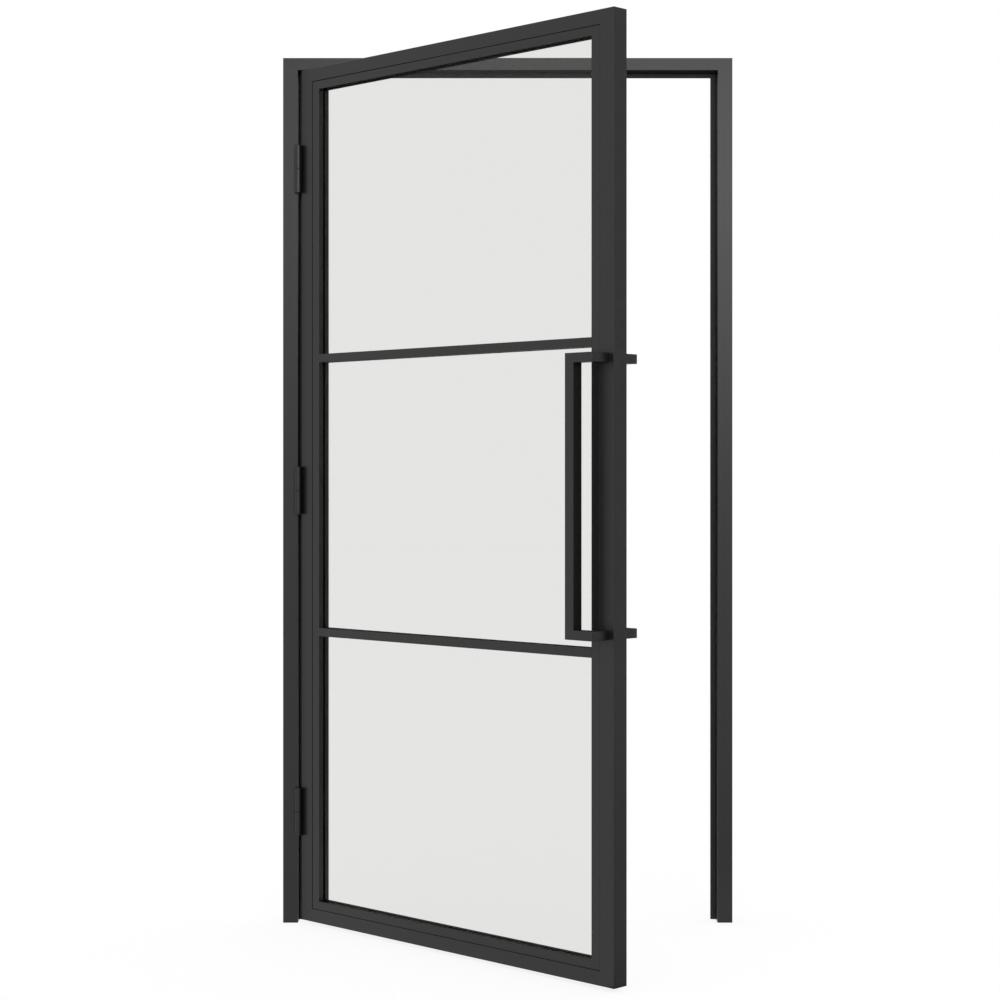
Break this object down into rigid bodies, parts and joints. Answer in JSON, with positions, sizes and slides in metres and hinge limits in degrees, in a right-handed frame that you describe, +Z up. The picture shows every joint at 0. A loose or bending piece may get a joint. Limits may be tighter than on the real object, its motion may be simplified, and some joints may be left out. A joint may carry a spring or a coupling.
{
  "type": "glass door with frame",
  "caption": "Matt black steel-look glass door hinged on the left of a three-sided frame, with slim glazing bars and offset pull handles back to back.",
  "frame": {"origin": "on the floor, in the middle of the doorway, in the plane of the frame's front face", "axes": "+X along the wall away from the hinges, +Y through the doorway away from the side the leaf opens to, +Z up"},
  "size_m": [1.06, 0.765, 2.04],
  "materials": {
    "powder_coat": "matt black powder coat",
    "handle_black": "matt black powder coat on the handles",
    "hinge_black": "matt black coat on the hinges",
    "steel": "zinc-plated steel",
    "seal_rubber": "matt black rubber",
    "nylon": "matt dark grey nylon",
    "tape": "dark foam tape",
    "glass": "clear, faintly grey safety glass"
  },
  "bodies": {
    "frame": {"hinge_jamb": "powder_coat", "strike_jamb": "powder_coat", "head": "powder_coat", "hinge_seal": "seal_rubber", "strike_seal": "seal_rubber", "head_seal": "seal_rubber", "hinge_corner_cleat": "steel", "strike_corner_cleat": "steel", "lower_hinge_frame_half": "hinge_black", "middle_hinge_frame_half": "hinge_black", "upper_hinge_frame_half": "hinge_black", "lower_hinge_pin": "steel", "middle_hinge_pin": "steel", "upper_hinge_pin": "steel", "lower_hinge_washer": "nylon", "middle_hinge_washer": "nylon", "upper_hinge_washer": "nylon", "frame_hinge_screws": "steel"},
    "leaf": {"hinge_stile": "powder_coat", "lock_stile": "powder_coat", "bottom_rail": "powder_coat", "top_rail": "powder_coat", "bottom_hinge_cleat": "steel", "bottom_lock_cleat": "steel", "top_hinge_cleat": "steel", "top_lock_cleat": "steel", "glass_pane": "glass", "hinge_bead": "powder_coat", "lock_bead": "powder_coat", "bottom_bead": "powder_coat", "top_bead": "powder_coat", "front_gasket": "seal_rubber", "rear_gasket": "seal_rubber", "glazing_blocks": "nylon", "lower_front_bar": "powder_coat", "upper_front_bar": "powder_coat", "lower_rear_bar": "powder_coat", "upper_rear_bar": "powder_coat", "front_bar_tapes": "tape", "rear_bar_tapes": "tape", "front_pull_handle": "handle_black", "rear_pull_handle": "handle_black", "handle_studs": "steel", "lower_hinge_leaf_half": "hinge_black", "middle_hinge_leaf_half": "hinge_black", "upper_hinge_leaf_half": "hinge_black", "leaf_hinge_screws": "steel"}
  },
  "joints": [
    {"name": "door_swing", "type": "hinge", "parent": "frame", "child": "leaf", "pos_m": [-0.494, -0.0085, 1.02], "axis": [0, 0, -1], "range_deg": [-44.5, 65.5]}
  ]
}
